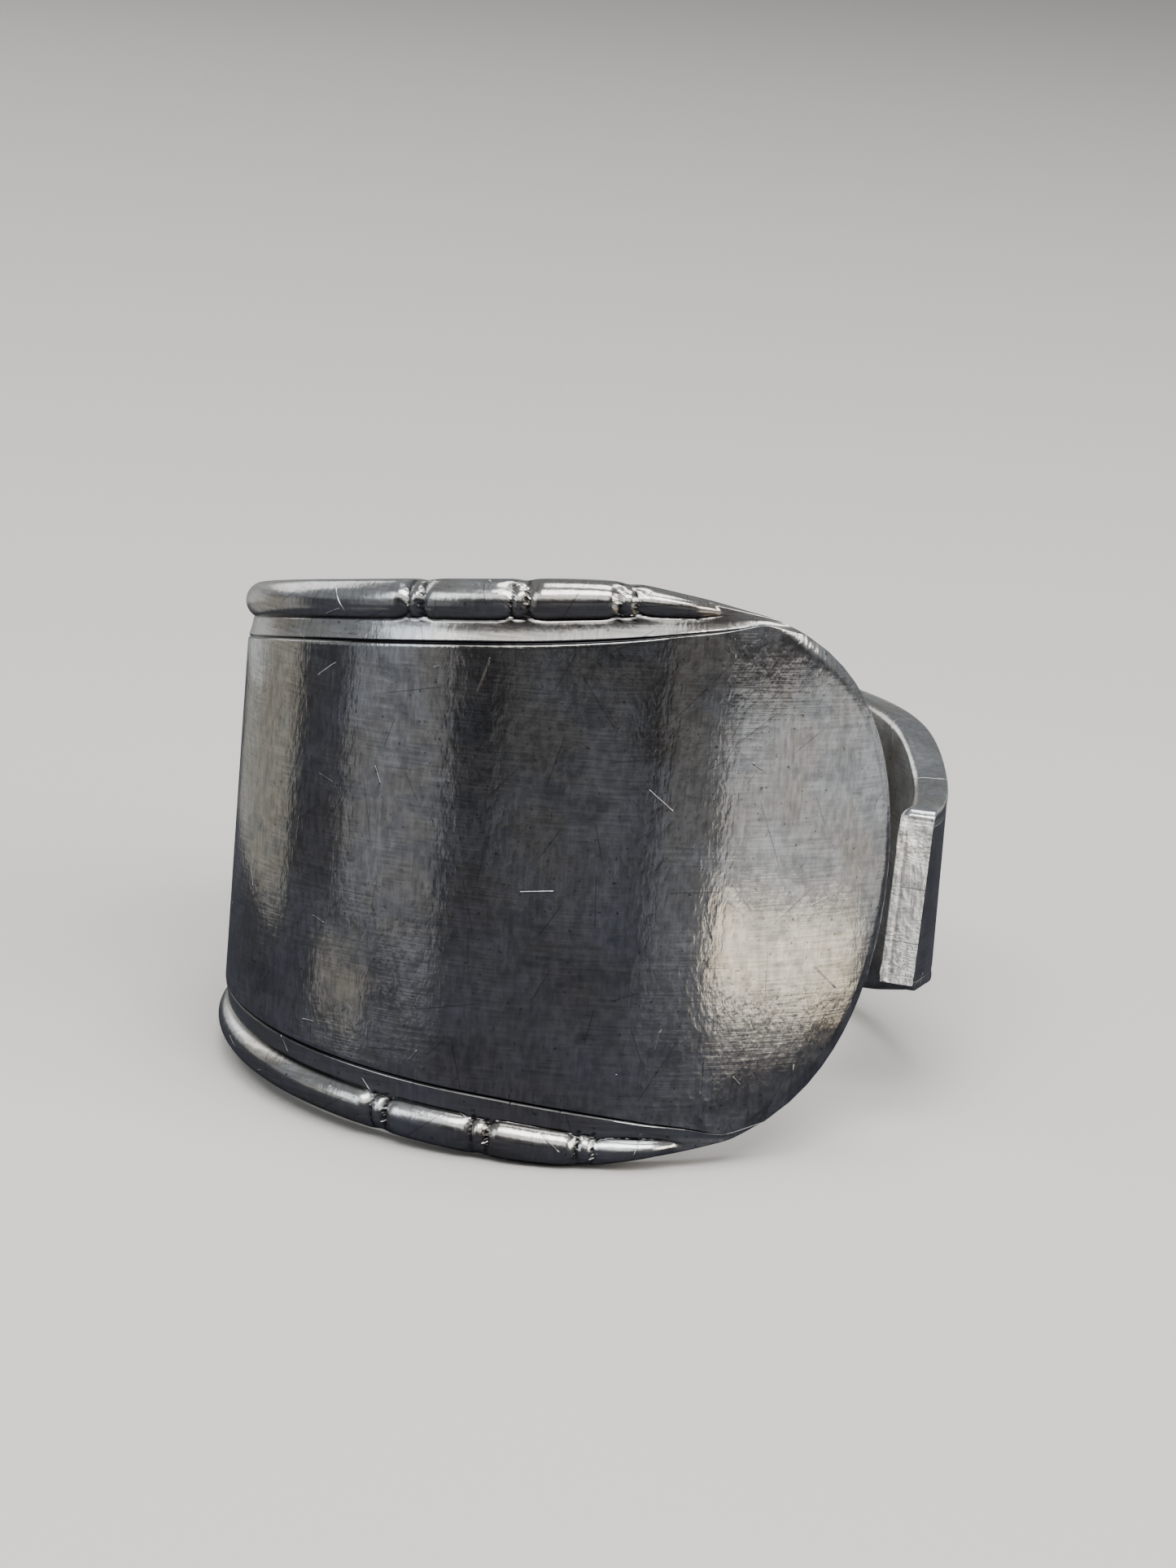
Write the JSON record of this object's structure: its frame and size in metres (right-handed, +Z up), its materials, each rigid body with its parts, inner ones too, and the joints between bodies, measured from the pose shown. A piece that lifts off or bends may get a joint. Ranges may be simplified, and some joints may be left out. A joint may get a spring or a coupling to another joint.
{
  "type": "spoon ring",
  "caption": "Open finger ring rolled from the handle of a flatware spoon, with a beaded border along both edges, a rounded tip and a sawn neck end.",
  "frame": {"origin": "bottom centre of the bounding box, on the surface that the ring lies on", "axes": "+Z up; the band's plain face and rounded tip are towards -Y, the tip points to +X; the finger hole's axis leans 6.6 degrees from +Z, mostly towards +Y"},
  "size_m": [0.025, 0.0262, 0.0191],
  "materials": {
    "steel": "worn satin stainless steel with fine scratches and brighter borders"
  },
  "bodies": {
    "root": {"ring_band": "steel"}
  },
  "joints": []
}
